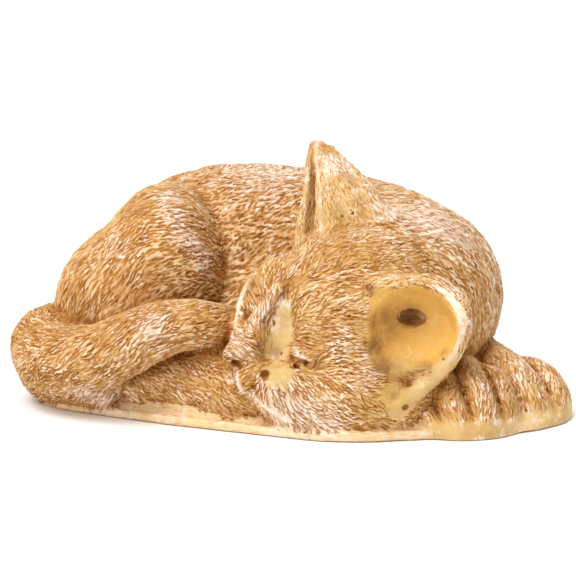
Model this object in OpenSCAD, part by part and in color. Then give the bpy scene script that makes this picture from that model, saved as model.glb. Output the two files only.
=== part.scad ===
// Sleeping cat figurine: a curled cat cast in pieces that are luted together
// on a thin base slab.  Millimetres.  +X runs from the rump to the forepaws,
// +Y from the face to the spine, +Z up.  The origin is on the resting face,
// under the middle of the figurine.

/* [Slab] */
// Thickness of the base slab
slab_thickness = 2.5; // [2:0.1:3.5]
// Radius of the slab under the head and chest
slab_front_radius = 40.5; // [38:0.5:42]
// Radius of the slab under the rump
slab_rump_radius = 24; // [22:0.5:26]
// Radius of the slab under the forepaws
slab_paw_radius = 24.5; // [22:0.5:26]

/* [Body] */
// Radius of the trunk at its thickest
trunk_radius = 27; // [24:0.5:28]
// Height of the trunk's middle line above the table
trunk_height = 33; // [30:0.5:34]
// Radius of the shoulder dome
shoulder_radius = 26; // [24:0.5:27]
// Half sizes of the thigh dome
thigh_radii = [17.5, 24, 25]; // [15:0.5:28]
// Half sizes of the rump dome
rump_radii = [21.5, 23, 22.5]; // [18:0.5:24]

/* [Tail] */
// Radius of the tail where it leaves the rump
tail_root_radius = 10.5; // [8:0.25:11]
// Radius of the tail at its tip
tail_tip_radius = 4.25; // [3:0.25:6]

/* [Head] */
// Half sizes of the skull
skull_radii = [24, 20, 24]; // [18:0.5:25]
// Radius of the nose
nose_radius = 2.8; // [2:0.1:3.6]

/* [Ears] */
// Height of the raised ear's tip above the table
raised_ear_top = 72; // [68:0.5:74]
// Half sizes of the open ear's cup
cup_radii = [14, 8, 15]; // [8:0.5:16]
// Half sizes of the bowl inside the open ear
bowl_radii = [10.4, 8.6, 9.8]; // [7:0.1:11]

/* [Paws] */
// Distance from one fold between the toes to the next
toe_width = 7.7; // [6.5:0.1:8.5]
// Depth of the folds between the toes
fold_depth = 1.8; // [1:0.1:3]

/* [Hidden] */

dome_fn = 28;
limb_fn = 22;
ear_fn = 16;
far = 200;
outline_step = 3;

// The slab's outline: round lobes, in order around it, as [x, y, radius].
slab_lobes = [
    [-45.5, 3, slab_rump_radius],
    [17, -6.5, slab_front_radius],
    [50.5, -15.5, slab_paw_radius],
    [38, 6, 26],
    [16, 14, 32],
    [-8, 16, 30],
    [-32, 14, 27],
];

// Middle lines of the long forms: stations of [x, y, z, radius].
trunk_line = [
    [-40, 10, 22, 22],
    [-22, 18, trunk_height - 0.5, trunk_radius],
    [2, 19.5, trunk_height, trunk_radius],
    [22, 13, trunk_height - 2, trunk_radius - 1],
    [34, 4, trunk_height - 5, trunk_radius - 3],
];
tail_line = [
    [-54, 14, 15, tail_root_radius - 0.5],
    [-64.5, -2, 15, tail_root_radius],
    [-60.3, -16, 14, tail_root_radius - 0.5],
    [-49, -25, 17, tail_root_radius - 1.8],
    [-38.2, -28, 22.6, tail_root_radius - 2.4],
    [-30.3, -28.5, 25.6, (tail_root_radius + tail_tip_radius) / 2],
    [-22.6, -28.5, 26.2, tail_tip_radius + 2.4],
    [-13.7, -27, 25.5, tail_tip_radius + 1],
    [-6, -24, 25, tail_tip_radius],
];
open_ear_rim = [
    [20.6, -40.5, 38.5, 1.8],
    [29, -41.5, 40, 2],
    [37, -41.5, 39.4, 2.4],
    [42.2, -42, 34, 3.2],
    [42.8, -42.4, 27.5, 3.2],
    [39.6, -43, 20, 2.6],
    [33.5, -43.6, 13.5, 2.2],
    [26, -44, 9.5, 2],
];

skull_centre = [18, -24, 26.5];
cup_centre = [31, -37.5, 26];
bowl_centre = [31.2, -45.6, 29];
near_paw_centre = [42.6, -31, 3];
near_paw_radii = [16, 13.2, 15];
far_paw_centre = [55, -18.5, 1.6];
far_paw_radii = [19, 15, 15.4];
slit_width = 0.9;

// Helpers -----------------------------------------------------------------

function xyz(station) = [station[0], station[1], station[2]];

function spline_point(a, b, c, d, t) =
    0.5 * (2 * b + (c - a) * t
        + (2 * a - 5 * b + 4 * c - d) * t * t
        + (3 * b - a - 3 * c + d) * t * t * t);

// Points along a smooth curve through the stations, "steps" to each span.
function smooth_line(stations, steps) =
    let (last = len(stations) - 1)
    [
        for (i = [0 : last - 1], k = [0 : steps - 1])
            spline_point(
                stations[max(i - 1, 0)],
                stations[i],
                stations[i + 1],
                stations[min(i + 2, last)],
                k / steps
            ),
        stations[last],
    ];

// A smooth dome: an ellipsoid at "centre", turned about its own middle.
module dome(centre, radii, turn = [0, 0, 0]) {
    translate(centre)
        rotate(turn)
            hull()
                scale(radii)
                    sphere(r = 1, $fn = dome_fn);
}

// A limb that tapers from one round end to another.
module limb(a, b, radius_a, radius_b) {
    hull() {
        translate(a) sphere(r = radius_a, $fn = limb_fn);
        translate(b) sphere(r = radius_b, $fn = limb_fn);
    }
}

module chain(stations, steps) {
    line = smooth_line(stations, steps);
    for (i = [0 : len(line) - 2])
        limb(xyz(line[i]), xyz(line[i + 1]), line[i][3], line[i + 1][3]);
}

// Everything above the slab's top face.
module above_slab() {
    intersection() {
        children();
        translate([-far / 2, -far / 2, slab_thickness])
            cube(far);
    }
}

// The slab's outline is the tight band around its lobes.  The point that
// reaches furthest in the direction "angle" lies on one of them.
function reach(lobe, angle) = lobe[0] * cos(angle) + lobe[1] * sin(angle) + lobe[2];

function outline_point(angle) =
    let (furthest = max([for (lobe = slab_lobes) reach(lobe, angle)]))
    let (lobe = [for (lobe = slab_lobes) if (reach(lobe, angle) >= furthest) lobe][0])
    [lobe[0] + lobe[2] * cos(angle), lobe[1] + lobe[2] * sin(angle)];

// Whole forms, before they are fitted to each other ------------------------

module trunk_form() {
    chain(trunk_line, 3);
    dome([30, -4, 27], [shoulder_radius, shoulder_radius + 2, shoulder_radius]);
    dome([28, -16, 26], [24, 20, 22]);
    dome([-5, 1, 18], [23, 21, 20]);
}

module haunch_form() {
    dome([-33, 1, 33.2], thigh_radii);
    dome([-42, 3, 24], rump_radii);
    dome([-33.5, -4, 22], [16, 20, 19]);
    limb([-42, 3, 25], [-34, 1, 33], 21.5, 18);
}

module tail_form() {
    chain(tail_line, 2);
    limb([-63, -6, 8.5], [-50, -18, 9.5], 9.3, 8.5);
}

module foot_form() {
    limb([-48, -12, 9], [-17, -22, 11], 8, 12);
    dome([-9, -27, 9.5], [14, 11, 11]);
}

module muzzle_form() {
    dome([-4.5, -32, 17.5], [9.5, 8, 10], [0, -30, 0]);
    dome([-10, -34.4, 22.6], [5.8, 5.4, 4.8], [0, -20, 0]);
    dome([-14.2, -35, 19.6], [nose_radius, nose_radius + 0.4, nose_radius + 0.4]);
    dome([-9.8, -36.8, 14], [4, 4.2, 5], [0, 20, 0]);
    limb([-2.6, -36.7, 37.5], [-8.8, -35.9, 28], 1.6, 2.2);
    limb([-9.5, -31, 38], [-12.4, -33.5, 25], 1.4, 1.9);
}

module head_form() {
    dome(skull_centre, skull_radii);
    dome([6.2, -34, 9.4], [19, 12.5, 12.5], [0, 25, 0]);
    dome([20, -34.5, 8.5], [20, 12, 11.5]);
    dome([-1.4, -26, 32], [10.5, 10, 12.5], [0, 40, 0]);
    limb([18, -26, 32], [4, -34, 14], 17, 11);
    muzzle_form();
}

module raised_ear_form() {
    hull() {
        translate([8, -9.5, raised_ear_top - 2]) sphere(r = 2, $fn = ear_fn);
        translate([11, -10, raised_ear_top - 3.2]) sphere(r = 1.6, $fn = ear_fn);
        translate([8.4, -19.5, 44]) sphere(r = 3, $fn = ear_fn);
        translate([13, -19, 45]) sphere(r = 4.6, $fn = ear_fn);
        translate([18, -17, 46]) sphere(r = 5.4, $fn = ear_fn);
        translate([23, -14, 50]) sphere(r = 5.8, $fn = ear_fn);
        translate([6, -11.5, 45]) sphere(r = 4, $fn = ear_fn);
        translate([3.4, -14, 45]) sphere(r = 2.6, $fn = ear_fn);
    }
}

// A groove down the raised ear, between its front edge and its far wing.
module raised_ear_hollow() {
    limb([6.4, -13.4, 66], [5.6, -19.2, 48], 0.7, 1.5);
}

module cup_outside() {
    dome(cup_centre, cup_radii);
    chain(open_ear_rim, 2);
}

// The open ear's bowl, its upright left wall, its outlet and its canal.
module cup_hollow() {
    dome(bowl_centre, bowl_radii);
    limb([23.6, -45.6, 35.6], [23.8, -46.4, 22], 3.4, 3.6);
    limb([27.4, -48, 22], [26.6, -49.6, 14.5], 6.6, 3.6);
    dome([31.4, -37.4, 30], [3.7, 3.6, 2.1]);
}

// Folds between the toes: thin upright discs, a toe's width apart, that cut
// "fold_depth" into the front of a paw's dome.
module toe_folds(centre, radii, turn, lean, first_fold) {
    difference() {
        translate(centre)
            rotate([0, -lean, turn])
                for (i = [0 : 1])
                    translate([first_fold + i * toe_width, -8, 0])
                        hull()
                            scale([slit_width / 2, 14, 16])
                                sphere(r = 1, $fn = dome_fn);
        dome(centre, radii - [fold_depth, fold_depth, fold_depth]);
    }
}

module near_paw_block() {
    dome(near_paw_centre, near_paw_radii);
    limb([36, -14, 12], [40, -26, 10], 9, 10);
}

module near_paw_form() {
    difference() {
        near_paw_block();
        toe_folds(near_paw_centre, near_paw_radii, 8, 18, 3);
    }
}

module far_paw_form() {
    difference() {
        union() {
            dome(far_paw_centre, far_paw_radii);
            limb([44, -4, 13], [52, -13, 9], 9.5, 9.5);
        }
        toe_folds(far_paw_centre, far_paw_radii, 22, 22, 0.9);
    }
}

// The pieces ----------------------------------------------------------------

module base_slab() {
    color("burlywood")
        linear_extrude(height = slab_thickness)
            polygon([for (angle = [0 : outline_step : 359]) outline_point(angle)]);
}

module body() {
    color("sandybrown")
        above_slab()
            difference() {
                trunk_form();
                haunch_form();
                head_form();
                raised_ear_form();
                tail_form();
            }
}

module right_haunch() {
    color("peru")
        above_slab()
            difference() {
                haunch_form();
                tail_form();
                head_form();
            }
}

module right_hind_foot() {
    color("tan")
        above_slab()
            difference() {
                foot_form();
                tail_form();
                haunch_form();
                head_form();
            }
}

module tail() {
    color("goldenrod")
        above_slab()
            difference() {
                tail_form();
                head_form();
            }
}

module head() {
    color("navajowhite")
        above_slab()
            difference() {
                head_form();
                cup_hollow();
            }
}

module right_ear() {
    color("wheat")
        above_slab()
            difference() {
                raised_ear_form();
                raised_ear_hollow();
                head_form();
            }
}

module left_ear() {
    color("khaki")
        above_slab()
            difference() {
                cup_outside();
                cup_hollow();
                head_form();
                trunk_form();
            }
}

module right_forepaw() {
    color("moccasin")
        above_slab()
            difference() {
                far_paw_form();
                near_paw_block();
                trunk_form();
                head_form();
            }
}

module left_forepaw() {
    color("bisque")
        above_slab()
            difference() {
                near_paw_form();
                trunk_form();
                head_form();
                cup_outside();
            }
}

base_slab();
body();
right_haunch();
right_hind_foot();
tail();
head();
right_ear();
left_ear();
right_forepaw();
left_forepaw();
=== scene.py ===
import math

import bpy
import numpy as np
from mathutils import Euler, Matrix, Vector
from mathutils.kdtree import KDTree


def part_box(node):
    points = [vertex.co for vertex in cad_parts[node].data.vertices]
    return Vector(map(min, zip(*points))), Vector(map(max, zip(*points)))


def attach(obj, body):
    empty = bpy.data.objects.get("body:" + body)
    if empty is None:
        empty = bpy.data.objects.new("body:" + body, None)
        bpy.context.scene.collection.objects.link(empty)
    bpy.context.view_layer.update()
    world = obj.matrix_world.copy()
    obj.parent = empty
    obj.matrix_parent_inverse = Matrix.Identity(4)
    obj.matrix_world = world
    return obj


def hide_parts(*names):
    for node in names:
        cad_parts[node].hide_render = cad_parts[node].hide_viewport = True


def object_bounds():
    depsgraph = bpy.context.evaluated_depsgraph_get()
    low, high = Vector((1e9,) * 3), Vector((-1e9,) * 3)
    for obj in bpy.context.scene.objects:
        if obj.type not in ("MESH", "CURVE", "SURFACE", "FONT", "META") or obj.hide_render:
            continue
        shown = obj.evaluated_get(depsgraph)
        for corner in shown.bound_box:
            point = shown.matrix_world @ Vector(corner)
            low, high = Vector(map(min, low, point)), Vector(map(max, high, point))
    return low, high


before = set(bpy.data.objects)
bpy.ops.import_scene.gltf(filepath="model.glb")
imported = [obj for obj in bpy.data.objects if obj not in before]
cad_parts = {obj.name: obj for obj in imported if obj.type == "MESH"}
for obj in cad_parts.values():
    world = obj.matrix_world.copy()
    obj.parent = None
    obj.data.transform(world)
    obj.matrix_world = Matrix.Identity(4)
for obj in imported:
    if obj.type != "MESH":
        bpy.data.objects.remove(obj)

cad_low, cad_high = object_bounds()

# --- Frame and units ---
# The figurine is sculpted in figurine millimetres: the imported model's frame,
# with its length taken as NOMINAL_LENGTH. LOWEST and HIGHEST are its box.

NOMINAL_LENGTH = 150.0
UNIT = (cad_high[0] - cad_low[0]) / NOMINAL_LENGTH
LOWEST, HIGHEST = np.array(cad_low) / UNIT, np.array(cad_high) / UNIT
REACH = 10.0  # how far beyond its CAD node a form's field is still worked out
SEED = 20260


def node_box(node):
    """A CAD node's lowest and highest corner, in figurine millimetres."""
    low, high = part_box(node)
    return np.array(low) / UNIT, np.array(high) / UNIT


# --- Fields ---
# A field gives each point's distance to a surface, negative inside.


def turn_matrix(turn):
    """The rotation by degrees about X, then Y, then Z."""
    return np.array(Euler([math.radians(angle) for angle in turn]).to_matrix(), np.float32)


def ball(p, centre, radii, turn=(0, 0, 0)):
    """An ellipsoid."""
    q = (p - np.array(centre, np.float32)) @ turn_matrix(turn)
    radii = np.array(radii, np.float32)
    inner = np.sqrt(((q / radii) ** 2).sum(-1))
    slope = np.sqrt(((q / (radii * radii)) ** 2).sum(-1))
    return inner * (inner - 1) / np.maximum(slope, 1e-6)


def limb(p, a, b, radius_a, radius_b):
    """A limb that tapers from one round end to another."""
    a = np.array(a, np.float32)
    along = np.array(b, np.float32) - a
    length = float(np.linalg.norm(along))
    lean = max(-0.99, min(0.99, (radius_a - radius_b) / length))
    q = p - a
    t = q @ (along / length)
    off = np.sqrt(np.maximum((q * q).sum(-1) - t * t, 0))
    foot = np.clip(t + off * lean / math.sqrt(1 - lean * lean), 0, length)
    radius = radius_a + (radius_b - radius_a) * foot / length
    return np.sqrt(off * off + (t - foot) ** 2) - radius


def smooth_line(stations, steps):
    """A smooth line through the stations, whatever number of values each one has."""
    points = np.array(stations, float)
    points = np.vstack([2 * points[0] - points[1], points, 2 * points[-1] - points[-2]])
    line = []
    for a, b, c, d in zip(points[:-3], points[1:-2], points[2:-1], points[3:]):
        for k in range(steps):
            t = k / steps
            bend = (2 * a - 5 * b + 4 * c - d) * t * t + (3 * b - a - 3 * c + d) * t ** 3
            line.append(0.5 * (2 * b + (c - a) * t + bend))
    line.append(points[-2])
    return np.array(line)


def rope(p, stations, steps=4):
    """A tapering tube along a smooth line; a station is (x, y, z, radius)."""
    line = smooth_line(stations, steps)
    parts = [limb(p, u[:3], v[:3], u[3], v[3]) for u, v in zip(line[:-1], line[1:])]
    return np.minimum.reduce(parts)


def join(width, *fields):
    """The union of fields, with fillets of about that width."""
    result = fields[0]
    for other in fields[1:]:
        h = np.clip(0.5 + 0.5 * (other - result) / width, 0, 1)
        result = other + (result - other) * h - width * h * (1 - h)
    return result


def carve(width, field, *tools):
    """The field with the tools cut out of it, the edges rounded by about that width."""
    for tool in tools:
        field = -join(width, -field, tool)
    return field


def unit(ways):
    """The directions, each at length 1."""
    return ways / np.maximum(np.linalg.norm(ways, axis=-1, keepdims=True), 1e-6)


def step_up(values, low, high):
    """Rises smoothly from 0 at low to 1 at high."""
    t = np.clip((values - low) / (high - low), 0, 1)
    return t * t * (3 - 2 * t)


# --- Forms ---
# One field per sub-part, in figurine millimetres. A lobe of the slab is a disc's
# (x, y, radius), and a station of a line is (x, y, z, radius).

SLAB_TOP = 2.5
SLAB_EDGE = 0.9
MOUND_SLOPE = 0.8
MOUND_INSET = 0.3
MOUND_WIDTH = 6
SLAB_LOBES = [
    (-45.5, 3, 24),
    (17, -6.5, 40.5),
    (50.5, -15.5, 24.5),
    (38, 6, 26),
    (16, 14, 32),
    (-8, 16, 30),
    (-32, 14, 27),
]
TAIL_LINE = [
    (-54, 14, 15, 10),
    (-64.5, -2, 15, 10.3),
    (-60.3, -16, 14, 9.9),
    (-49, -25, 17, 8.6),
    (-38.2, -28, 22.6, 8),
    (-30.3, -28.5, 25.6, 7.2),
    (-22.6, -28.5, 26.2, 6.5),
    (-13.7, -27, 25.5, 5),
    (-6, -24, 25, 4),
]
RIGHT_EAR_RIBS = [
    [(8.4, -19.5, 44, 3), (8, -17, 54, 1.5), (7.8, -12.8, 64, 1.2), (7.2, -9.6, 70.4, 1.2)],
    [(13, -19, 45, 4.6), (11.4, -16.6, 55, 3.6), (10, -12.8, 63.6, 2.4), (8.2, -9.6, 70.2, 1.4)],
    [(18, -17, 46, 5.4), (15.6, -15, 56, 4.6), (12.4, -12.2, 63.8, 3), (9, -9.8, 69.6, 1.6)],
    [(23, -14, 50, 5.8), (19.4, -13, 57.6, 4.2), (15.2, -11.6, 63.8, 2.6), (11, -10, 68.8, 1.6)],
    [(3.4, -14, 45, 2.6), (4.6, -12.6, 56, 1.5), (5.4, -10.8, 64, 1.2), (6.2, -9.4, 70.2, 1.1)],
    [(6, -11.5, 45, 4), (6.4, -10.5, 56, 3), (6.8, -9.6, 64, 1.9), (7, -9.2, 70, 1.2)],
]
LEFT_EAR_RIM = [
    (20.6, -40.5, 38.5, 1.8),
    (29, -41.5, 40, 2),
    (37, -41.5, 39.4, 2.4),
    (42.2, -42, 34, 3.2),
    (42.8, -42.4, 27.5, 3.2),
    (39.6, -43, 20, 2.6),
    (33.5, -43.6, 13.5, 2.2),
    (26, -44, 9.5, 2),
]
FAR_RIM = [(-9.5, -31, 38, 1.4), (-11.2, -31, 33, 1.7), (-12, -32, 28.5, 1.9), (-12.4, -33.5, 25, 1.9)]
VALLEY = [(0, -40.6, 38, 0.8), (-1.2, -40.1, 33, 2.4), (-2.6, -39.6, 27, 3.5), (-3.4, -40.6, 21.6, 4)]
BRIDGE = [(-2.6, -36.7, 37.5, 1.6), (-5.6, -35.9, 32, 1.9), (-8.8, -35.9, 28, 2.2)]
TRUNK_LINE = [
    (-40, 10, 22, 22),
    (-22, 18, 32.6, 26.8),
    (2, 19.5, 33, 26.8),
    (22, 13, 31, 26),
    (34, 4, 28, 24),
]


def base_slab_form(p):
    """A thin rim that rises inwards as a low mound, which the figure lies on."""
    angles = np.radians(np.arange(0, 360, 4))
    outward = np.stack([np.cos(angles), np.sin(angles)], -1)
    reach = np.max([outward @ np.array(lobe[:2]) + lobe[2] for lobe in SLAB_LOBES], 0)
    side = (p[:, :2] @ outward.T.astype(np.float32) - reach).max(-1) + SLAB_EDGE
    top = SLAB_TOP + MOUND_SLOPE * np.clip(-side - MOUND_INSET, 0, MOUND_WIDTH)
    level = np.abs(p[:, 2] - top / 2) - top / 2 + SLAB_EDGE
    outside = np.sqrt(np.maximum(side, 0) ** 2 + np.maximum(level, 0) ** 2)
    return np.minimum(np.maximum(side, level), 0) + outside - SLAB_EDGE


def body_form(p):
    back = rope(p, TRUNK_LINE, 4)
    shoulder = ball(p, (30, -4, 27), (25.8, 28, 26))
    neck = ball(p, (28, -16, 26), (23.5, 20, 21.5))
    belly = ball(p, (-5, 1, 18), (23, 21, 20))
    return join(6, back, shoulder, neck, belly)


def right_haunch_form(p):
    thigh = ball(p, (-33, 1, 33.2), (17.5, 24, 25))
    rump = ball(p, (-42, 3, 24), (21.5, 23, 22.6))
    knee = ball(p, (-33.5, -4, 22), (16, 20, 19))
    return join(6, thigh, rump, knee)


def right_hind_foot_form(p):
    hock = limb(p, (-48, -12, 9), (-17, -22, 11), 8, 12)
    toes = ball(p, (-9, -27, 9.5), (14, 11, 11))
    return join(3, hock, toes)


def tail_form(p):
    coil = rope(p, TAIL_LINE, 4)
    underside = limb(p, (-63, -6, 8.5), (-50, -18, 9.5), 9.3, 8.5)
    return join(3, coil, underside)


def head_form(p):
    skull = ball(p, (18, -24, 26.5), (24, 20, 24))
    jaw = ball(p, (6.2, -34, 9.4), (19, 12.5, 12.5), (0, 25, 0))
    cheek = ball(p, (20, -34.5, 8.5), (20, 12, 11.5))
    far_side = ball(p, (-1.4, -26, 32), (10.5, 10, 12.5), (0, 40, 0))
    snout = ball(p, (-4.5, -32, 17.5), (9.5, 8, 10), (0, -30, 0))
    mass = join(5, skull, jaw, cheek, far_side, snout)
    far_rim = rope(p, FAR_RIM, 3)
    muzzle = ball(p, (-9.8, -35.4, 22.8), (5.6, 5.6, 4.9), (0, -20, 0))
    nose = ball(p, (-14.3, -35, 19.6), (2.6, 3, 3))
    lip = ball(p, (-9.8, -36.8, 14), (4, 4.2, 5), (0, 20, 0))
    face = join(1.6, mass, far_rim, muzzle, nose, lip)
    temple = limb(p, (-7, -39.6, 36), (-10, -38.7, 31), 2.8, 2.4)
    valley = rope(p, VALLEY, 3)
    face = carve(2, face, temple, valley)
    bridge = rope(p, BRIDGE, 3)
    brow = limb(p, (1.6, -41.2, 22), (6.4, -42.6, 21), 1.4, 1.8)
    pad = ball(p, (-2, -38.8, 15.6), (4.4, 3.6, 3.6))
    face = join(1.2, join(3, face, pad), bridge, brow)
    notch = limb(p, (-13.8, -37.2, 19), (-12.2, -38.5, 17.5), 0.6, 0.5)
    mouth = limb(p, (-11.2, -39.8, 18.2), (-8.8, -40.8, 18.8), 0.4, 0.3)
    slit = limb(p, (0.6, -41.4, 20.4), (5.0, -43.1, 19.6), 0.7, 0.4)
    corner = ball(p, (2.1, -42.8, 18.8), (0.6, 0.7, 0.5))
    pit = ball(p, (-6, -42.8, 16.5), (1.4, 0.9, 1.4))
    return carve(0.4, face, notch, mouth, slit, corner, pit)


def right_ear_form(p):
    ribs = [rope(p, stations, 3) for stations in RIGHT_EAR_RIBS]
    root = limb(p, (6, -13, 43), (22, -12, 46), 5, 6)
    return join(1.2, *ribs, root) + 0.3


def right_ear_hollow(p):
    return limb(p, (6.4, -13.8, 66), (5.7, -19.8, 48), 0.6, 1.2)


def left_ear_form(p):
    shell = ball(p, (31, -37.5, 26), (14, 8, 15))
    rim = rope(p, LEFT_EAR_RIM, 3)
    return join(3, shell, rim)


def left_ear_hollow(p):
    bowl = ball(p, (31.2, -45.6, 29), (10.4, 8.6, 9.8))
    wall = limb(p, (23.6, -45.6, 35.6), (23.8, -46.4, 22), 3.4, 3.6)
    trough = limb(p, (27.4, -48, 22), (26.4, -47.8, 12.6), 6.6, 3)
    return join(1.4, bowl, wall, trough)


def left_ear_canal(p):
    return ball(p, (31.4, -37.4, 30), (3.7, 3.6, 2.1), (0, 6, 0))


def paw_form(p, dome, centre, turn, lean, toe_width, first_fold, arm):
    """A domed paw whose toes are parted by folds, a toe's width apart, and its arm."""
    across = turn_matrix((0, -lean, turn))[:, 0]
    ahead = turn_matrix((0, 0, turn))[:, 1]
    offset = p - np.array(centre, np.float32)
    folds = np.abs(np.sin(math.pi * (offset @ across - first_fold) / toe_width))
    fade = step_up(-(offset @ ahead), -7, 3) * step_up(p[:, 2], 1.5, 8)
    toes = dome - 3.4 * fade * (folds ** 0.5 - 0.85)
    return join(3, toes, arm)


def left_forepaw_form(p):
    dome = join(3, ball(p, (43.4, -31, 3), (16.6, 13.4, 15)), ball(p, (44.6, -33, 2), (14.8, 12, 9)))
    arm = limb(p, (36, -14, 12), (40, -26, 10), 9, 10)
    return paw_form(p, dome, (42.6, -31, 3), 8, 18, 8, 3.1, arm)


def right_forepaw_form(p):
    dome = join(3, ball(p, (55, -18.5, 1.6), (19, 15, 15.4)), ball(p, (58.5, -21, 2), (15.8, 13.6, 12.4)))
    arm = limb(p, (44, -4, 13), (52, -13, 9), 9.5, 9.5)
    return paw_form(p, dome, (55, -16.5, 1.6), 22, 12, 12, 8.9, arm)


FORMS = {
    "base_slab": base_slab_form,
    "body": body_form,
    "right_haunch": right_haunch_form,
    "right_hind_foot": right_hind_foot_form,
    "tail": tail_form,
    "head": head_form,
    "right_ear": right_ear_form,
    "left_ear": left_ear_form,
    "right_forepaw": right_forepaw_form,
    "left_forepaw": left_forepaw_form,
}
PIECES = list(FORMS)
BOXES = {name: node_box(name) for name in PIECES}


def near_field(name, p):
    """A form's field near its CAD node, and REACH elsewhere."""
    low, high = BOXES[name]
    inside = ((p > low - REACH) & (p < high + REACH)).all(-1)
    field = np.full(len(p), REACH, np.float32)
    field[inside] = FORMS[name](p[inside])
    return field


def figure_fields(p):
    """The whole figurine's field, and the field of each piece."""
    f = {name: near_field(name, p) for name in PIECES}
    trunk = join(2.5, f["body"], f["right_haunch"])
    skull = join(3.5, f["head"], f["right_ear"], f["left_ear"])
    hollows = [right_ear_hollow(p), left_ear_hollow(p)]
    whole = join(5.5, trunk, skull)
    whole = join(1.3, whole, f["tail"], f["right_hind_foot"])
    whole = join(0.8, whole, f["left_forepaw"], f["right_forepaw"])
    whole = carve(0.6, carve(1.2, whole, *hollows), left_ear_canal(p))
    whole = np.maximum(join(1.6, whole, f["base_slab"]), -p[:, 2])
    return whole, np.stack([f[name] for name in PIECES], -1)


# --- Meshing ---
# Every piece is meshed from one grid of labels, 0 outside and 1 upwards in the
# pieces, so neighbours share their seams and each piece is a closed mesh.

GRID = 1.0
CHUNK = 200000


def evaluate(p):
    """figure_fields of many points, a chunk at a time."""
    parts = [figure_fields(p[i:i + CHUNK]) for i in range(0, len(p), CHUNK)]
    return np.concatenate([w for w, _ in parts]), np.concatenate([f for _, f in parts])


def label_grid():
    """The grid's lowest corner, and at each grid point the whole field and the label."""
    low = np.floor(LOWEST) - 1.5
    high = np.ceil(HIGHEST) + 1.5
    counts = np.ceil((high - low) / GRID).astype(int) + 1
    steps = np.indices(counts).reshape(3, -1).T
    whole, parts = evaluate((low + steps * GRID).astype(np.float32))
    labels = np.where(whole < 0, parts.argmin(-1) + 1, 0).reshape(counts)
    drop_strays(labels, parts.reshape(*counts, len(PIECES)))
    untangle(labels)
    return low, whole.reshape(counts), labels


def halves(axis):
    """A grid's slices without its last and without its first layer along an axis."""
    here, there = [slice(None)] * 3, [slice(None)] * 3
    here[axis], there[axis] = slice(None, -1), slice(1, None)
    return tuple(here), tuple(there)


def untangle(labels):
    """Gives a corner to a piece wherever two of its grid points meet only corner to corner."""
    for _ in range(20):
        changed = 0
        for e, g in ((0, 1), (0, 2), (1, 2)):
            cut = {}
            for at in ((0, 0), (1, 0), (1, 1), (0, 1)):
                cut[at] = labels[halves(e)[at[0]]][halves(g)[at[1]]]
            for a, b, c, d in (((0, 0), (1, 0), (1, 1), (0, 1)), ((1, 0), (0, 0), (0, 1), (1, 1))):
                crossed = (cut[a] == cut[c]) & (cut[a] > 0) & (cut[b] != cut[a]) & (cut[d] != cut[a])
                cut[b][crossed] = cut[a][crossed]
                changed += crossed.sum()
        if not changed:
            return


def main_lump(mask):
    """The part of a mask that hangs together with its middle."""
    places = np.argwhere(mask)
    box = tuple(slice(a, b) for a, b in zip(places.min(0), places.max(0) + 1))
    block = mask[box]
    thick = np.pad(block, 1).astype(int)
    for axis in range(3):
        thick = thick + np.roll(thick, 1, axis) + np.roll(thick, -1, axis)
    lump = np.zeros_like(block)
    lump[np.unravel_index((thick[1:-1, 1:-1, 1:-1] * block).argmax(), block.shape)] = True
    size = 0
    while lump.sum() > size:
        size = lump.sum()
        for axis in range(3):
            here, there = halves(axis)
            for _ in range(4):
                lump[there] |= lump[here] & block[there]
                lump[here] |= lump[there] & block[here]
    result = np.zeros_like(mask)
    result[box] = lump
    return result


def drop_strays(labels, parts):
    """Gives every bit that is apart from its piece to the piece that is next nearest."""
    for number in range(1, len(PIECES) + 1):
        mask = labels == number
        stray = mask & ~main_lump(mask)
        rest = parts[stray]
        rest[:, number - 1] = np.inf
        labels[stray] = rest.argmin(-1) + 1


def corner_stack(grid):
    """The eight corner values of every cell of a grid."""
    a, b = slice(None, -1), slice(1, None)
    corners = [(i, j, k) for i in (a, b) for j in (a, b) for k in (a, b)]
    return np.stack([grid[c] for c in corners], -1)


def cell_points(low, whole, labels):
    """A point for each cell that a surface crosses, with its number, or -1."""
    corners = corner_stack(labels)
    mixed = corners.min(-1) != corners.max(-1)
    skin = mixed & (corners.min(-1) == 0)
    numbers = np.full(mixed.shape, -1)
    numbers[mixed] = np.arange(mixed.sum())
    centre = low + (np.argwhere(mixed) + 0.5) * GRID
    field = corner_stack(whole)[mixed].reshape(-1, 2, 2, 2)
    slope = np.stack([np.diff(field, axis=d).mean((1, 2, 3)) for d in (1, 2, 3)], -1) / GRID
    size = np.maximum((slope ** 2).sum(-1), 0.05)
    step = -slope * (field.mean((1, 2, 3)) / size)[:, None]
    on_skin = skin[mixed]
    points = centre + np.where(on_skin[:, None], np.clip(step, -0.49 * GRID, 0.49 * GRID), 0)
    return points, numbers, on_skin


def cell_quads(labels, numbers):
    """The quads between unlike grid points, each with the labels behind and before it."""
    quads, behind, before = [], [], []
    for d in range(3):
        e, g = (d + 1) % 3, (d + 2) % 3
        here, there = halves(d)
        a, b = labels[here], labels[there]
        at = np.argwhere(a != b)
        shifts = np.zeros((4, 3), int)
        shifts[[0, 3], e] = -1
        shifts[[0, 1], g] = -1
        cells = at[:, None, :] + shifts
        quads.append(numbers[tuple(np.moveaxis(cells, -1, 0))])
        behind.append(a[tuple(at.T)])
        before.append(b[tuple(at.T)])
    return np.concatenate(quads), np.concatenate(behind), np.concatenate(before)


def slopes(p, reach=0.2):
    """The whole field's unit gradient at each point."""
    shifts = np.array([(1, 1, 1), (1, -1, -1), (-1, 1, -1), (-1, -1, 1)], np.float32)
    total = np.zeros_like(p)
    for shift in shifts:
        total += evaluate(p + shift * reach)[0][:, None] * shift
    return unit(total)


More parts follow.
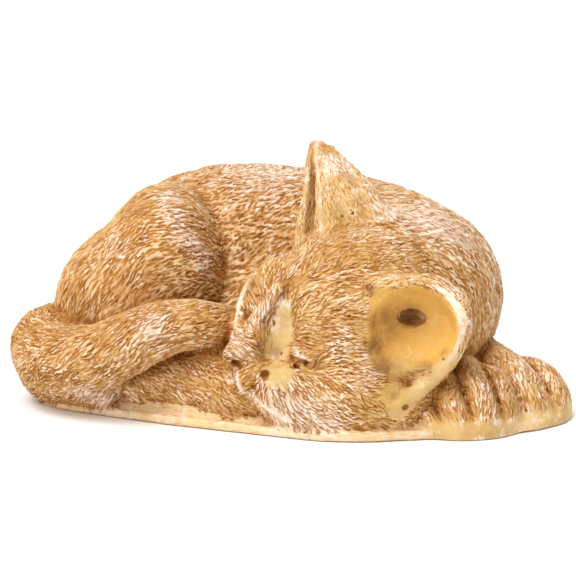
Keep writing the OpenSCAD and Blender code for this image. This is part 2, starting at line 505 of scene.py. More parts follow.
def settle(p, normals, times):
    """The points moved along their normals onto the whole figurine's surface."""
    for _ in range(times):
        p = p - normals * np.clip(evaluate(p)[0], -0.4, 0.4)[:, None]
    return p


def relax(points, quads, fixed, times=8):
    """Evens out the inner seams, which no one sees, and leaves the skin alone."""
    ends = np.concatenate([quads[:, [i, (i + 1) % 4]] for i in range(4)])
    count = np.bincount(ends.ravel(), minlength=len(points))[:, None]
    for _ in range(times):
        total = np.zeros_like(points)
        for axis in range(3):
            sums = np.bincount(ends[:, 0], points[ends[:, 1], axis], len(points))
            total[:, axis] = sums + np.bincount(ends[:, 1], points[ends[:, 0], axis], len(points))
        points = np.where(fixed[:, None], points, total / np.maximum(count, 1))
    return points


def with_cuts(inner, edges, first_edge, k):
    """Inner quads with the points that the skin's cuts put on the edges they share."""
    shared = {tuple(e): first_edge + i * (k - 1) for i, e in enumerate(edges.tolist())}
    faces = []
    for quad in inner.tolist():
        face = []
        for a, b in zip(quad, quad[1:] + quad[:1]):
            face.append(a)
            start = shared.get((min(a, b), max(a, b)))
            if start is not None:
                between = list(range(start, start + k - 1))
                face.extend(between if a < b else between[::-1])
        faces.append(face)
    return faces


def refine(skin_quads, inner_quads, points, normals, k):
    """One piece's mesh: skin quads cut k by k, and inner quads that share their edges."""
    used, flat = np.unique(np.concatenate([skin_quads, inner_quads]), return_inverse=True)
    flat = flat.reshape(-1, 4)
    skin, inner = flat[:len(skin_quads)], flat[len(skin_quads):]
    base, base_normals = points[used], normals[used]
    pairs = np.stack([skin, np.roll(skin, -1, 1)], -1)
    swapped = pairs[..., 0] > pairs[..., 1]
    edges, edge_of = np.unique(np.sort(pairs, -1).reshape(-1, 2), axis=0, return_inverse=True)
    edge_of = edge_of.reshape(-1, 4)
    first_edge, first_inside = len(used), len(used) + len(edges) * (k - 1)
    t = np.arange(1, k)

    def blended(values):
        along = (t / k)[:, None]
        on_edges = values[edges[:, 0]][:, None] * (1 - along) + values[edges[:, 1]][:, None] * along
        u, v = [w.reshape(-1, 1) for w in np.meshgrid(t / k, t / k, indexing="ij")]
        a, b, c, d = [values[skin[:, i]][:, None] for i in range(4)]
        inside = a * (1 - u) * (1 - v) + b * u * (1 - v) + c * u * v + d * (1 - u) * v
        return np.concatenate([values, on_edges.reshape(-1, 3), inside.reshape(-1, 3)])

    def edge_points(side):
        ids = first_edge + edge_of[:, side, None] * (k - 1) + (t - 1)
        return np.where(swapped[:, side, None], ids[:, ::-1], ids)

    grid = np.zeros((len(skin), k + 1, k + 1), int)
    grid[:, 0, 0], grid[:, k, 0], grid[:, k, k], grid[:, 0, k] = skin.T
    grid[:, 1:k, 0] = edge_points(0)
    grid[:, k, 1:k] = edge_points(1)
    grid[:, 1:k, k] = edge_points(2)[:, ::-1]
    grid[:, 0, 1:k] = edge_points(3)[:, ::-1]
    inside = first_inside + np.arange(len(skin) * (k - 1) ** 2).reshape(len(skin), k - 1, k - 1)
    grid[:, 1:k, 1:k] = inside
    corners = [grid[:, :-1, :-1], grid[:, 1:, :-1], grid[:, 1:, 1:], grid[:, :-1, 1:]]
    faces = np.stack(corners, -1).reshape(-1, 4)

    inner_faces = with_cuts(inner, edges, first_edge, k)
    on_skin = np.zeros(len(used), bool)
    on_skin[skin.ravel()] = True
    every = np.concatenate([on_skin, np.ones(len(edges) * (k - 1) + inside.size, bool)])
    return blended(base), blended(base_normals), every, faces, inner_faces


# --- Fur and casting marks ---
# The surface is tooled with short strokes that follow the lie of the fur, and
# the casting left lumps and pinholes.

EYE = (-3.4, -38, 18.5)
EAR_TIP = (6, -9, 73)
EAR_HOLE = (31.4, -38, 30)

# A stroke's spacing, length, width and depth. Tufts are the same, this much larger.
# SWING is how far, in radians, a stroke strays from the lie of the fur.
TUFT_SCALE = 2.8
SWING = 0.22
STROKES = {
    "body": (1.2, 1.3, 0.27, 1),
    "right_haunch": (1.2, 1.6, 0.24, 1),
    "right_hind_foot": (1.0, 1.1, 0.2, 1),
    "tail": (1.0, 1.6, 0.19, 1),
    "head": (0.85, 1.3, 0.165, 0.95),
    "right_ear": (0.8, 0.9, 0.13, 0.6),
    "left_ear": (0.95, 1.2, 0.17, 0.8),
    "right_forepaw": (0.95, 1.9, 0.17, 0.8),
    "left_forepaw": (0.95, 1.9, 0.17, 0.8),
}

# How far the skin is raised or cut where a mark is at its strongest, in millimetres.
LUMP_HEIGHT = 0.12
RIPPLE_HEIGHT = 0.05
LIP_HEIGHT = 0.2
GROOVE_DEPTH = 0.42
TUFT_DEPTH = 0.35
HOLE_DEPTH = 0.4

# Pinholes all over, the spray of them beside the ear, and the largest ones.
PINHOLES = 520
SPRAY = {"start": (39.5, -44.4, 22.8), "end": (26, -45.6, 11.5), "count": 60, "spread": 0.9}
PITS = [
    (-6, -42.3, 16.5, 0.9),
    (-8.9, -41.5, 12.8, 0.7),
    (-1, -37.6, 35.6, 0.9),
    (-1.6, -37.2, 20.6, 0.4),
    (4.6, -41.4, 26.6, 0.6),
    (20.2, -42.6, 39, 0.9),
    (36, -44.8, 22.3, 0.45),
    (30.4, -44.6, 14.6, 0.6),
    (29.6, -46, 8.8, 0.8),
    (7.4, -46.6, 2.6, 0.9),
    (-5.5, -45, 4, 0.6),
]

# Rolled edges: the cheek's rim, the lip, the raised ear's edge, the brow and the cup's rim.
RIDGES = [
    [(-10.8, -32.2, 38, 0.5), (-12.6, -32.2, 33, 0.6), (-13.6, -33.2, 28.5, 0.6), (-13.8, -34.8, 24.6, 0.6)],
    [(-13.4, -38.6, 16, 0.5), (-12, -40, 11.6, 0.7), (-7, -42, 8.4, 0.7), (0.5, -44.4, 4.8, 0.7)],
    [(8.6, -21.4, 48, 0.4), (8, -18, 57, 0.3), (7.4, -13, 66, 0.3), (7.6, -10, 71, 0.5)],
    [(1.6, -42.7, 21.4, 0.3), (3.6, -43.3, 21.2, 0.5), (6, -43.9, 20.6, 0.3)],
    [(38, -44.4, 39, 0.4), (43, -45.5, 33, 1.2), (43.2, -46.4, 27, 1.2), (40, -46.6, 20, 0.7)],
]

# The slit and corner of the eye, and the notch of the nose: two ends and a half-width. They are cut with the
# pinholes and darkened as painted shade.
SLITS = [
    ((0.6, -41.1, 20.8), (5, -42.9, 19.9), 0.4),
    ((2.0, -42.4, 18.8), (2.3, -42.4, 18.7), 0.4),
    ((-13.7, -36.7, 18.9), (-12.1, -38.1, 17.5), 0.35),
]
TAIL_PATH = smooth_line(TAIL_LINE, 4)


def waves(p, size, seed, count=14):
    """A smooth random value for each point, mostly from -1 to 1, with lumps of about that size."""
    draw = np.random.default_rng(seed)
    ways = draw.normal(size=(count, 3))
    ways *= 2 * math.pi / size / np.linalg.norm(ways, axis=-1, keepdims=True)
    phases = draw.uniform(0, 2 * math.pi, count)
    return np.sin(p @ ways.T.astype(np.float32) + phases).sum(-1) / math.sqrt(count)


def around(p, x, z):
    """Clockwise arcs, seen from the front, about a line along Y."""
    return unit(np.stack([p[:, 2] - z, np.zeros(len(p)), x - p[:, 0]], -1))


def along(p, path):
    """The direction of the nearest stretch of a path."""
    starts, ends = path[:-1, :3], path[1:, :3]
    nearest = ((p[:, None] - (starts + ends) / 2) ** 2).sum(-1).argmin(-1)
    return unit((ends - starts)[nearest])


def body_fur(p):
    """Up and over the back, round the shoulder, and down behind."""
    shoulder = step_up(p[:, 0], 2, 18)[:, None]
    behind = step_up(p[:, 1], 8, 24)[:, None]
    front = (1 - shoulder) * np.array((0.8, 0, 0.6)) + shoulder * around(p, 33, 27)
    return front * (1 - behind) + behind * np.array((-0.5, 0.4, -0.8))


def head_fur(p):
    """Fans out from the inner corner of the eye, and lies flatter over the forehead."""
    way = p - EYE
    flatter = step_up(way[:, 0], 0, 6) * step_up(way[:, 2], 0, 6)
    way[:, 2] *= 1 - 0.7 * flatter
    return way


FUR = {
    "body": body_fur,
    "right_haunch": lambda p: around(p, -20, 16),
    "right_hind_foot": lambda p: (1, 0, -0.6),
    "tail": lambda p: along(p, TAIL_PATH) + (0, 0, 0.4),
    "head": head_fur,
    "right_ear": lambda p: p - EAR_TIP,
    "left_ear": lambda p: around(p, 31, 25),
    "right_forepaw": lambda p: (0.4, -1, -0.9),
    "left_forepaw": lambda p: (0.1, -1, -0.9),
}


def polar(p, x, z):
    """Distance from a line along Y, and the way round it, in millimetres at 20 mm out."""
    away = np.hypot(p[:, 0] - x, p[:, 2] - z)
    return away, 20 * np.arctan2(p[:, 2] - z, p[:, 0] - x)


def body_grain(p):
    """The grain of the back, and round the shoulder that of its arcs."""
    away, turned = polar(p, 33, 27)
    shoulder = p[:, 0] > 10
    return np.where(shoulder, away, 0.8 * p[:, 2] - 0.6 * p[:, 0]), np.where(shoulder, turned, p[:, 0])


def tail_grain(p):
    """The way round the tail's middle line, and the way along it."""
    middles = (TAIL_PATH[:-1, :3] + TAIL_PATH[1:, :3]) / 2
    nearest = ((p[:, None] - middles) ** 2).sum(-1).argmin(-1)
    run = np.linalg.norm(np.diff(TAIL_PATH[:, :3], axis=0), axis=-1).cumsum()
    offset = p - middles[nearest]
    way = along(p, TAIL_PATH)
    side = unit(np.stack([way[:, 1], -way[:, 0], np.zeros(len(p))], -1))
    around_it = np.arctan2(offset[:, 2], (offset * side).sum(-1))
    return 8 * around_it, run[nearest] + (offset * way).sum(-1)


def fan_grain(p, source):
    """The grain of fur that fans out from a point."""
    away, turned = polar(p, source[0], source[2])
    return turned, away


def paw_grain(p):
    """The grain of fur that runs down a paw to its toes."""
    return p[:, 0] + 0.35 * p[:, 2], p[:, 1] + p[:, 2]


GRAIN = {
    "base_slab": lambda p: (3 * p[:, 2], p[:, 0]),
    "body": body_grain,
    "right_haunch": lambda p: polar(p, -20, 16),
    "right_hind_foot": lambda p: (0.5 * p[:, 0] + 0.86 * p[:, 2], p[:, 0]),
    "tail": tail_grain,
    "head": lambda p: fan_grain(EYE + head_fur(p), EYE),
    "right_ear": lambda p: fan_grain(p, EAR_TIP),
    "left_ear": lambda p: fan_grain(p, EAR_HOLE),
    "right_forepaw": paw_grain,
    "left_forepaw": paw_grain,
}


def grain(skin, piece_of):
    """Each skin point's place across and along the lie of the fur, in millimetres."""
    across_fur, along_fur = np.zeros(len(skin)), np.zeros(len(skin))
    for number, name in enumerate(PIECES):
        mine = piece_of == number
        across_fur[mine], along_fur[mine] = GRAIN[name](skin[mine])
    return across_fur, along_fur


def bare(p):
    """1 where the fur is left out: ear cup and lobe, eye, pad, valley, soles and ridges."""
    cup = step_up(left_ear_hollow(p), 1.2, 0.1)
    valley = step_up(limb(p, (-0.7, -37, 33.6), (-2.4, -37.3, 22), 1.3, 3.3), 0.9, -0.5)
    pad = step_up(ball(p, (-2, -42.6, 16.4), (4, 4, 3.4)), 1.2, -0.6)
    eye = step_up(limb(p, (1, -42, 20.1), (5, -43.6, 19.3), 0.7, 0.5), 0.4, -0.2)
    lobe = 0.8 * step_up(limb(p, (40.5, -45, 21), (28, -46.2, 8), 1.8, 2.6), 1.6, -0.6)
    soles = step_up(-p[:, 2], -6, -3) * step_up(p[:, 0], 30, 36)
    ragged = 0.35 * waves(p, 2.2, SEED + 5)
    valley = valley + ragged * (valley > 0)
    pad = pad + ragged * (pad > 0)
    return np.clip(np.maximum.reduce([cup, valley, pad, eye, lobe, soles, ridges(p)]), 0, 1)


def ridges(p):
    """1 along the rolled edges that stand clear of the fur, falling to 0 beside them."""
    lines = [rope(p, line, 3) for line in RIDGES]
    return step_up(np.minimum.reduce(lines), 0.7, -0.4)


def stroke_seeds(skin, piece_of, scale, draw):
    """One point of the skin in each small cell of space."""
    seeds = []
    for name, (cell, *_) in STROKES.items():
        order = draw.permutation(np.flatnonzero(piece_of == PIECES.index(name)))
        cells = np.floor(skin[order] / (cell * scale)).astype(int)
        _, first = np.unique(cells, axis=0, return_index=True)
        seeds.append(order[np.sort(first)])
    seeds = np.concatenate(seeds)
    return seeds[bare(skin[seeds]) < 0.7]


def nearby(tree, centres, radii):
    """Pairs of a mark and a skin point within its radius."""
    found = [[hit[1] for hit in tree.find_range(c, r)] for c, r in zip(centres.tolist(), radii.tolist())]
    marks = np.repeat(np.arange(len(found)), [len(hits) for hits in found])
    return marks, np.concatenate([np.array(hits, int) for hits in found])


def stroke_ways(centres, ups, pieces, draw):
    """The direction along each stroke and the one across it, both on the skin."""
    ways = np.zeros_like(centres)
    for number, name in enumerate(PIECES):
        mine = pieces == number
        if name in FUR and mine.any():
            ways[mine] = FUR[name](centres[mine])
    ways = unit(ways - ups * (ways * ups).sum(-1, keepdims=True))
    across = np.cross(ups, ways)
    swing = SWING * (draw.normal(size=len(centres)) + waves(centres, 9, SEED + 1))
    cosine, sine = np.cos(swing)[:, None], np.sin(swing)[:, None]
    return ways * cosine + across * sine, across * cosine - ways * sine


def fur_strokes(skin, normals, piece_of, tree, scale=1.0):
    """How deep each skin point lies in a stroke, and how much it stands in a lip beside one."""
    draw = np.random.default_rng(SEED)
    seeds = stroke_seeds(skin, piece_of, scale, draw)
    centres, pieces = skin[seeds], piece_of[seeds]
    ways, across = stroke_ways(centres, normals[seeds], pieces, draw)
    habits = np.array([STROKES.get(name, (0, 0, 0, 0)) for name in PIECES])[pieces]
    lengths = scale * habits[:, 1] * draw.uniform(0.4, 1.3, len(seeds))
    widths = scale * habits[:, 2] * draw.uniform(0.75, 1.3, len(seeds))
    bends = draw.normal(0, 0.5, len(seeds))
    marks, at = nearby(tree, centres, lengths + 0.3)
    offset = skin[at] - centres[marks]
    u = (offset * ways[marks]).sum(-1) / lengths[marks]
    v = (offset * across[marks]).sum(-1) / widths[marks] + bends[marks] * u * u
    taper = np.clip(1 - u * u, 0, 1) * (1 - 0.35 * u)
    calmer = 0.7 + 0.3 * step_up(waves(centres, 6, SEED + 6), -0.9, 0.5)
    calmer *= habits[:, 3] * (1 - step_up(bare(centres), 0.1, 0.8))
    deep = (calmer * draw.uniform(0.35, 1, len(seeds)))[marks]
    groove = np.zeros(len(skin))
    lip = np.zeros(len(skin))
    np.maximum.at(groove, at, deep * taper * np.exp(-v * v))
    np.maximum.at(lip, at, deep * taper * np.exp(-2 * (np.abs(v) - 1.7) ** 2))
    return groove, lip * (1 - groove)


def pinholes(skin, tree):
    """How deep each skin point lies in a pinhole."""
    draw = np.random.default_rng(SEED + 2)
    seeds = draw.choice(np.flatnonzero(bare(skin) < 0.5), PINHOLES, replace=False)
    start, end = np.array(SPRAY["start"]), np.array(SPRAY["end"])
    sprayed = start + (end - start) * draw.random((SPRAY["count"], 1))
    sprayed += draw.normal(0, SPRAY["spread"], sprayed.shape)
    pits = np.array(PITS)
    centres = np.concatenate([skin[seeds], sprayed, pits[:, :3]])
    small = 0.18 + 0.24 * draw.random(PINHOLES + len(sprayed)) ** 3
    radii = np.concatenate([small, pits[:, 3]])
    marks, at = nearby(tree, centres, 2 * radii)
    reach = np.linalg.norm(skin[at] - centres[marks], axis=-1) / radii[marks]
    depth = np.zeros(len(skin))
    np.maximum.at(depth, at, np.exp(-reach ** 3) * np.minimum(radii[marks] / 0.3, 2))
    for a, b, radius in SLITS:
        depth = np.maximum(depth, np.exp(-(limb(skin, a, b, 0.01, 0.01) / radius) ** 2))
    return depth


# --- Paint regions ---
# A brushful of paint: its centre (x, y, z), how far it reaches and how strong it is.

PAINT = {
    "chalk": [
        (-32.5, -7.5, 56.6, 5, 2.2), (-29.6, -13.8, 52.3, 5, 2.4), (-25.6, -16.8, 46.2, 6, 2.4),
        (-21.8, -16.1, 40.2, 5, 2), (-44, -15, 43, 6, 1.4), (-35, -35, 27, 7, 2.4),
        (-62, -20, 16, 10, 0.9), (-54, -26, 7, 7, 2.4), (-46, -24, 4, 7, 2.4),
        (-32, -36, 5, 8, 1.6), (-5, 15, 58, 22, 1.9), (0, -46, 7, 12, 2.2),
        (12, -13, 64, 5, 1.2), (38, -12, 50, 18, 2.5), (52, -8, 36, 14, 0.8),
        (40, -44, 40, 7, 1.2), (64, -26, 14, 10, 1.2), (50, -38, 9, 9, 0.8),
        (-6, -38, 32, 6, 2.6), (-13, -37, 24, 5, 1.8), (3, -43, 22.5, 2.2, 2),
        (-14, -38, 15, 4, 1.6), (-11, -39, 23, 4.5, 1.2), (20, -46, 16, 6, 1.4),
        (14, -44, 24, 4, 1.5), (10, -47, 6, 9, 1.2),
    ],
    "glaze": [
        (-1.6, -39, 31, 5, 1.2), (-3, -40, 24, 7, 1.2), (-2, -43, 16.5, 6, 1.2),
        (27, -46, 13, 8, 1), (30, -44, 20, 5, 0.9), (-14, -30, 15, 10, 0.8),
        (-40, -30, 4, 12, 0.6), (-5, -8, 40, 9, 0.5), (12, -20, 54, 7, 1),
        (17, -43, 30, 4, 0.8), (20, -47, 9, 8, 0.7), (37, -46, 14, 6, 0.8),
        (38, -44, 1, 7, 0.8), (52, -40, 1, 8, 0.8), (66, -30, 1, 9, 0.8),
    ],
    # Umber is painted shade: the left ear's cup, canal and lower rim, the face's valley, slit, notch and
    # pit, the haunch's shaded side, under the tail and the soles.
    "umber_shade": [
        (-52, -14, 27, 9, 0.8), (-30, -22, 33, 10, 0.7), (-48, -32, 3, 6, 0.9),
        (31, -39, 30.5, 4.4, 2.2), (31.4, -35, 30, 3, 2), (25, -39.6, 31, 4, 1),
        (26, -39, 26.5, 4.5, 0.9), (21, -43, 30, 3.4, 1.3), (21.8, -43.2, 24, 4.2, 1.9),
        (23.4, -43.6, 19, 4, 1.7), (20.4, -42.6, 38.6, 2.2, 1.6), (39, -44.4, 22.4, 2.2, 1.2),
        (34.4, -44.5, 18.8, 3, 1.6), (30.2, -44.6, 15, 2.6, 1.3), (26.6, -45.6, 11.8, 2.2, 1.2),
        (28, -44.4, 16.5, 5, 1.1), (52, -36, 1, 12, 0.4), (-22, -28, 28, 7, 0.3),
        (52, -34, 4, 10, 0.4), (-14, -38, 18, 2, 1), (3.2, -42.4, 20, 1.4, 1.2),
        (-6, -42.4, 16.5, 1.5, 1.8), (-2.8, -36.8, 20.6, 2.6, 1.4), (-28, -26, 14, 5, 0.8),
        (-12, -24, 40, 6, 0.5), (-38, -21, 36, 8, 0.6),
    ],
    "russet": [
        (-38, -22, 28, 12, 1.2), (-20, -32, 20, 9, 1), (-26, -34, 14, 8, 0.8),
        (-40, 6, 30, 32, 0.6), (-5, 25, 55, 34, 0.9), (20, 25, 50, 30, 0.5),
    ],
}


def paint(p, colour):
    """How much of a colour has been brushed on at each point."""
    total = np.zeros(len(p), np.float32)
    for *centre, reach, strength in PAINT[colour]:
        away = ((p - np.array(centre, np.float32)) ** 2).sum(-1)
        total += strength * np.exp(-away / (0.5 * reach * reach))
    return total


def recess(p, normals, reach):
    """How far other parts of the surface crowd in on each point, from 0 to 1. The coats paint shade where it
    is high.
    """
    return 1 - np.clip(evaluate(p + normals * reach)[0] / reach, 0, 1)


# --- Materials ---
# Every coat reads the same marks from the mesh, so colours run on across seams.


class Nodes:
    """A small helper that adds and links the nodes of one material."""

    def __init__(self, name):
        self.material = bpy.data.materials.new(name)
        self.material.use_nodes = True
        self.tree = self.material.node_tree
        self.tree.nodes.clear()

    def add(self, kind, settings=None, **inputs):
        node = self.tree.nodes.new("ShaderNode" + kind)
        for key, value in (settings or {}).items():
            setattr(node, key, value)
        for key, value in inputs.items():
            self.put(node.inputs[key.replace("_", " ")], value)
        return node

    def put(self, socket, value):
        """Sets a socket to a number, or links it to another node's or to a mark by its name."""
        if isinstance(value, str):
            value = self.mark(value)
        if isinstance(value, bpy.types.NodeSocket):
            self.tree.links.new(value, socket)
        else:
            socket.default_value = value

    def mark(self, name):
        return self.add("Attribute", {"attribute_name": name}).outputs["Fac"]

    def grains(self, place, scale, detail, roughness):
        node = self.add("TexNoise", Vector=place, Scale=scale, Detail=detail, Roughness=roughness)
        return node.outputs["Fac"]

    def noise(self, size, detail=3.0, roughness=0.5):
        """Noise whose lumps are about that many millimetres across."""
        place = self.add("TexCoord").outputs["Object"]
        return self.grains(place, 1 / (size * UNIT), detail, roughness)

    def streaks(self, width, length):
        """Noise drawn out along the lie of the fur, its streaks that many millimetres in size."""
        across = self.math("DIVIDE", "across", width)
        along = self.math("DIVIDE", "along", length)
        place = self.add("CombineXYZ", X=across, Y=along).outputs["Vector"]
        return self.grains(place, 1.0, 2.0, 0.5)

    def ramp(self, value, low, high, to_low=0.0, to_high=1.0):
        """A value eased from the range low to high over to another range."""
        ranges = {"From_Min": low, "From_Max": high, "To_Min": to_low, "To_Max": to_high}
        node = self.add("MapRange", {"interpolation_type": "SMOOTHSTEP"}, Value=value, **ranges)
        return node.outputs["Result"]

    def math(self, operation, a, b):
        node = self.add("Math", {"operation": operation})
        self.put(node.inputs[0], a)
        self.put(node.inputs[1], b)
        return node.outputs[0]

    def times(self, value, *factors):
        for factor in factors:
            value = self.math("MULTIPLY", value, factor)
        return value

    def plus(self, a, b):
        return self.math("ADD", a, b)

    def least(self, a, b):
        return self.math("MINIMUM", a, b)

    def most(self, a, b):
        return self.math("MAXIMUM", a, b)

    def mix(self, factor, a, b):
        node = self.add("Mix", {"data_type": "RGBA"})
        self.put(node.inputs["Factor"], factor)
        for key, colour in (("A", a), ("B", b)):
            socket = [s for s in node.inputs if s.name == key and s.type == "RGBA"][0]
            self.put(socket, colour if isinstance(colour, bpy.types.NodeSocket) else (*colour, 1))
        return [s for s in node.outputs if s.type == "RGBA"][0]


OCHRE = (0.57, 0.33, 0.115)
PALE_OCHRE = (0.78, 0.54, 0.285)
RUSSET = (0.46, 0.22, 0.09)
PALE_RUSSET = (0.68, 0.41, 0.225)
AMBER = (0.46, 0.22, 0.044)
# A brown wash for the strokes and pinholes, also laid as painted shade in creases and slits.
WASH_AND_SHADE = (0.31, 0.1, 0.012)
DEEP_WASH = (0.155, 0.043, 0.006)
# Earth for the tufts and the ear's streaks, also laid as painted shade in the hollows.
EARTH_AND_SHADE = (0.33, 0.13, 0.03)
CHALK = (0.93, 0.82, 0.77)
LEMON = (0.53, 0.35, 0.11)
GOLD = (0.66, 0.36, 0.065)
# Umber, laid only as painted shade.
UMBER_SHADE = (0.21, 0.08, 0.014)
CLAY = (0.82, 0.6, 0.37)
MOST_CHALK = 0.72


def body_colour(n, base):
    """Ochre that turns russet in places, gold in the open ear and lemon where it is glazed."""
    patches = n.ramp(n.noise(11, 4), 0.38, 0.62)
    mottle = n.ramp(n.noise(2.2, 4, 0.6), 0.35, 0.65)
    warm = n.mix(patches, RUSSET, PALE_RUSSET)
    cool = n.mix(patches, base, PALE_OCHRE)
    colour = n.mix(n.least("russet", 1.0), cool, warm)
    colour = n.mix(n.times(mottle, 0.35), colour, PALE_OCHRE)
    colour = n.mix(n.least("gold", 0.9), colour, GOLD)
    return n.mix(n.least("glaze", 0.8), colour, LEMON)


def washed_and_shaded(n, colour, hairs, furry, strength):
    """Painted shade in the hollows where the surface crowds in, earth in the tufts and in streaks over the
    gold, amber between the hairs, and a brown wash that pools in the strokes.
    """
    # Painted shade: earth-brown where other parts of the surface crowd in.
    hollow_shade = n.times(n.ramp("recess", 0.2, 0.9, 0.0, 0.6), n.ramp(n.noise(3, 4, 0.6), 0.3, 0.6, 0.5))
    tufted = n.times(n.ramp("tuft", 0.15, 0.7, 0.0, 0.5), strength)
    combed = n.times(furry, n.ramp(hairs, 0.5, 0.36, 0.0, 0.6))
    veined = n.times("gold", n.ramp(hairs, 0.5, 0.36, 0.0, 0.2))
    halo = n.ramp("groove", 0.03, 0.3, 0.0, 0.6)
    filled = n.times(n.ramp("groove", 0.16, 0.5, 0.0, strength), n.ramp(n.noise(5, 3), 0.3, 0.6, 0.6))
    pooled = n.times(n.ramp("groove", 0.45, 0.8), n.ramp(n.noise(3.5, 4), 0.42, 0.6, 0.1, 0.9))
    amounts = (hollow_shade, tufted, combed, veined, halo, filled, pooled)
    tints = (EARTH_AND_SHADE, EARTH_AND_SHADE, AMBER, EARTH_AND_SHADE, AMBER, WASH_AND_SHADE, DEEP_WASH)
    for amount, tint in zip(amounts, tints):
        colour = n.mix(amount, colour, tint)
    return colour


def dry_brush(n, hairs):
    """How much chalk the brush has left: in patches, on the strokes' lips and on rolled edges."""
    patchy = n.times(
        n.ramp(n.plus(n.noise(4, 5, 0.7), n.times("chalk", 0.16)), 0.52, 0.64),
        n.ramp(n.noise(0.7, 3, 0.7), 0.36, 0.58, 0.25),
        n.ramp("tuft", 0.6, 0.15, 0.3),
        n.ramp(hairs, 0.4, 0.56, 0.35),
        n.ramp("groove", 0.35, 0.08),
    )
    raised = n.times(
        n.ramp("lip", 0.15, 0.6, 0.0, 0.55),
        n.ramp(n.plus(n.noise(5, 4, 0.6), n.times("chalk", 0.07)), 0.52, 0.66),
        n.ramp("groove", 0.4, 0.1),
    )
    rolled = n.times("ridge", n.ramp(n.noise(1.2, 4, 0.7), 0.4, 0.62, 0.1, 0.65))
    return n.times(
        n.most(n.most(patchy, raised), rolled),
        n.ramp("recess", 0.7, 0.3),
        n.ramp("gold", 0.9, 0.2, 0.15),
        n.ramp("glaze", 0.9, 0.3, 0.15),
    )


def veil(n):
    """How much of a thin chalk bloom lies over the places that are brushed most."""
    bloom = n.ramp("chalk", 0.4, 2.6, 0.0, 0.42)
    return n.times(bloom, n.ramp("groove", 0.5, 0.15, 0.2), n.ramp("glaze", 1.2, 0.4))


def stained_and_shaded(n, colour):
    """Painted shade in the tight creases and, in umber, where shade falls; a dark wash in the pinholes and
    painted shade in the slits of the eye and nose.
    """
    # Painted shade in tight creases.
    colour = n.mix(n.ramp("crease_shade", 0.15, 0.7, 0.0, 0.75), colour, WASH_AND_SHADE)
    # Painted shade in umber, where shade falls.
    shade = n.times("umber_shade", n.ramp(n.noise(2.5, 4, 0.6), 0.3, 0.6, 0.35), 0.55)
    colour = n.mix(n.least(shade, 0.85), colour, UMBER_SHADE)
    # A dark wash in the pinholes, and painted shade in the slits of the eye and nose.
    pit_wash_and_slit_shade = n.times(n.ramp("hole", 0.15, 0.6, 0.0, 0.9), n.ramp(n.noise(0.9, 3, 0.6), 0.35, 0.55, 0.5))
    return n.mix(pit_wash_and_slit_shade, colour, WASH_AND_SHADE)


def fine_relief(n, hairs, furry):
    """The normal of a surface with soft swellings, combed hairs and a fine grain."""
    swell = n.add("Bump", Height=n.noise(2.4, 3, 0.6), Strength=0.5, Distance=0.3 * UNIT)
    height = n.plus(n.noise(0.45, 3, 0.6), n.times(n.noise(0.9, 2, 0.5), 1.5))
    height = n.plus(height, n.times(hairs, furry, 2.5))
    bump = n.add("Bump", Height=height, Strength=0.45, Distance=0.09 * UNIT)
    n.put(bump.inputs["Normal"], swell.outputs["Normal"])
    return bump.outputs["Normal"]


def coat(name, base, wash_strength, chalk_strength):
    """Body colour, brown wash in the strokes, painted shade in hollows and creases, and chalky dry brush on
    what stands up.
    """
    n = Nodes(name)
    hairs = n.streaks(0.45, 3.0)
    furry = n.ramp("bare", 0.6, 0.2)
    colour = washed_and_shaded(n, body_colour(n, base), hairs, furry, wash_strength)
    white = n.most(n.times(dry_brush(n, hairs), chalk_strength), veil(n))
    colour = n.mix(n.least(white, MOST_CHALK), colour, CHALK)
    rough = n.ramp(n.noise(3.0, 3), 0.3, 0.7, 0.5, 0.7)
    shader = n.add("BsdfPrincipled", Base_Color=stained_and_shaded(n, colour), Roughness=rough)
    n.put(shader.inputs["Specular IOR Level"], n.ramp(n.most("groove", "hole"), 0.1, 0.5, 0.32, 0.1))
    n.put(shader.inputs["Normal"], fine_relief(n, hairs, furry))
    output = n.add("OutputMaterial", Surface=shader.outputs["BSDF"])
    output.is_active_output = True
    return n.material


def russet_coat():
    return coat("russet_coat", OCHRE, 0.8, 0.9)


def ochre_coat():
    return coat("ochre_coat", OCHRE, 0.72, 1.0)


def golden_ear():
    return coat("golden_ear", OCHRE, 0.6, 1.0)


def slab_clay():
    return coat("slab_clay", CLAY, 0.5, 0.5)


# --- Camera and light ---
# The view's distance and height are in figurine millimetres, its tilt in degrees.
# A lamp has its place and size in metres, its watts and its colour.

VIEW_DISTANCE = 560
VIEW_TILT = 12
VIEW_HEIGHT = 29.8
LENS = 129.25
LAMPS = {
    "front": ((-0.5, -0.6, 0.30), 0.35, 2.2, (1, 0.98, 0.95)),
    "rim": ((0.25, 0.5, 0.45), 0.4, 1.2, (1, 1, 1)),
    "fill": ((0.6, -0.35, 0.25), 0.4, 0.9, (1, 0.99, 0.97)),
}


def aim(thing, target):
    """Turns a camera or a lamp at a point."""
    thing.rotation_euler = (Vector(target) - thing.location).to_track_quat("-Z", "Y").to_euler()


def add_camera():
    """Looks a little down on the figurine from its front."""
    distance, tilt, target = VIEW_DISTANCE * UNIT, math.radians(VIEW_TILT), (0, 0, VIEW_HEIGHT * UNIT)
    data = bpy.data.cameras.new("camera")
    data.lens = LENS
    data.sensor_width = 36
    camera = bpy.data.objects.new("camera", data)
    camera.location = (0, -distance * math.cos(tilt), target[2] + distance * math.sin(tilt))
    aim(camera, target)
    bpy.context.collection.objects.link(camera)
    bpy.context.scene.camera = camera


def add_lamp(name, place, size, watts, colour):
    """A square soft box."""
    data = bpy.data.lights.new(name, "AREA")
    data.size = size
    data.energy = watts
    data.color = colour
    lamp = bpy.data.objects.new(name, data)
    lamp.location = place
    aim(lamp, (0, 0, 0.03))
    bpy.context.collection.objects.link(lamp)


